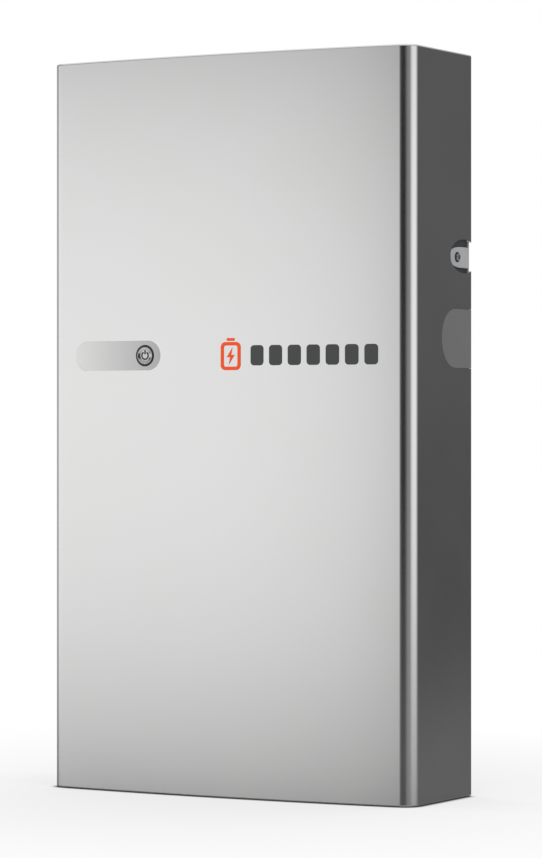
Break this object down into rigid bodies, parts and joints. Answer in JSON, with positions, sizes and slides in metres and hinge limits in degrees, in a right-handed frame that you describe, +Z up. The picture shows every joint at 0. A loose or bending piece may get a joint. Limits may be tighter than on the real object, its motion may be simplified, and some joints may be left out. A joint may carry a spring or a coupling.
{
  "type": "wall battery unit",
  "caption": "Wall-hung home battery: crowned metal cover with a recessed power button over a tray of cells, converters and wiring bay, on a slotted wall bracket.",
  "frame": {"origin": "bottom centre of the whole unit's bounding box", "axes": "+Z up the unit's tall side, +X to the right seen from the front, +Y from the bowed front towards the wall"},
  "size_m": [0.55, 0.188, 0.98],
  "materials": {
    "cover_metal": "satin anodised, brushed fine",
    "grille_paint": "matt powder coat",
    "plug_plastic": "fine moulded texture",
    "badge_orange": "semi-gloss",
    "badge_grey": "semi-gloss",
    "socket_plastic": "moulded",
    "cap_metal": "satin with bright rim",
    "symbol_dark": "ink inlay",
    "collar_plastic": "semi-gloss black",
    "light_ring": "smoked translucent",
    "switch_plastic": "moulded",
    "spring_steel": "bright wire",
    "chassis_paint": "dark powder coat",
    "pin_steel": "turned",
    "hook_steel": "zinc plated",
    "bracket_steel": "zinc plated",
    "screw_steel": "stainless",
    "bumper_rubber": "moulded",
    "tub_cast": "cast, bead blasted",
    "lid_paint": "grey powder coat",
    "gasket_rubber": "closed-cell",
    "vent_plastic": "moulded",
    "cell_film": "blue insulating film over the can",
    "pad_foam": "foam",
    "end_plate_metal": "machined",
    "band_steel": "rolled strip",
    "busbar_copper": "bare copper",
    "carrier_plastic": "moulded",
    "board_laminate": "solder mask",
    "gland_plastic": "moulded nylon",
    "lead_orange": "cable sheath",
    "inverter_shell": "moulded",
    "rail_zinc": "zinc plated",
    "plug_black": "moulded",
    "cable_black": "cable sheath",
    "bay_plastic": "moulded",
    "panel_paint": "light grey powder coat",
    "block_grey": "moulded nylon",
    "lever_orange": "moulded",
    "breaker_plastic": "moulded",
    "toggle_black": "moulded",
    "ground_brass": "machined",
    "hub_cast": "die cast"
  },
  "bodies": {
    "chassis": {"button_collar": "collar_plastic", "status_light_ring": "light_ring", "switch_body": "switch_plastic", "button_spring": "spring_steel", "chassis_tray": "chassis_paint", "cover_pins": "pin_steel", "chassis_hooks": "hook_steel", "wall_bracket": "bracket_steel", "ear_screws": "screw_steel", "lid_screws": "screw_steel", "inverter_screws": "screw_steel", "deadfront_screws": "screw_steel", "wall_bumpers": "bumper_rubber", "battery_tub": "tub_cast", "battery_lid": "lid_paint", "battery_gasket": "gasket_rubber", "pressure_vent": "vent_plastic", "cells_left": "cell_film", "cells_right": "cell_film", "cell_pads": "pad_foam", "end_plates": "end_plate_metal", "compression_bands": "band_steel", "busbars": "busbar_copper", "busbar_carrier": "carrier_plastic", "bms_board": "board_laminate", "control_board": "board_laminate", "dc_glands": "gland_plastic", "pack_cables": "lead_orange", "microinverter_1": "inverter_shell", "microinverter_2": "inverter_shell", "microinverter_3": "inverter_shell", "microinverter_4": "inverter_shell", "microinverter_5": "inverter_shell", "microinverter_6": "inverter_shell", "inverter_rails": "rail_zinc", "din_rail": "rail_zinc", "inverter_plugs": "plug_black", "ac_trunk_cable": "cable_black", "dc_harness": "cable_black", "wiring_box": "bay_plastic", "deadfront_panel": "panel_paint", "ac_terminal_block": "block_grey", "dc_breaker": "breaker_plastic", "ground_bar": "ground_brass", "ground_screws": "ground_brass", "conduit_hubs": "hub_cast"},
    "cover": {"front_cover": "cover_metal", "top_grille": "grille_paint", "bottom_grille": "grille_paint", "side_plug_left": "plug_plastic", "side_plug_right": "plug_plastic", "badge_icon": "badge_orange", "badge_bars": "badge_grey", "cover_sockets": "socket_plastic"},
    "button": {"power_button": "cap_metal", "power_symbol": "symbol_dark"},
    "toggle": {"breaker_toggle": "toggle_black"},
    "lever_one": {"lever_line_one": "lever_orange"},
    "lever_two": {"lever_line_two": "lever_orange"},
    "lever_three": {"lever_neutral": "lever_orange"}
  },
  "joints": [
    {"name": "cover_lift_off", "type": "slide", "parent": "chassis", "child": "cover", "axis": [0, -1, 0], "range_m": [0, 0.25]},
    {"name": "power_button_press", "type": "slide", "parent": "chassis", "child": "button", "axis": [0, 1, 0], "range_m": [0, 0.002], "stiffness_N_per_m": 900, "springref_m": -0.001, "deforming": ["button_spring"]},
    {"name": "breaker_toggle_throw", "type": "hinge", "parent": "chassis", "child": "toggle", "pos_m": [0.108, -0.04, 0.6045], "axis": [1, 0, 0], "range_deg": [0, 60]},
    {"name": "lever_one_lift", "type": "hinge", "parent": "chassis", "child": "lever_one", "pos_m": [-0.029, -0.039, 0.6295], "axis": [-1, 0, 0], "range_deg": [0, 90]},
    {"name": "lever_two_lift", "type": "hinge", "parent": "chassis", "child": "lever_two", "pos_m": [0.001, -0.039, 0.6295], "axis": [-1, 0, 0], "range_deg": [0, 90]},
    {"name": "lever_three_lift", "type": "hinge", "parent": "chassis", "child": "lever_three", "pos_m": [0.031, -0.039, 0.6295], "axis": [-1, 0, 0], "range_deg": [0, 90]}
  ]
}
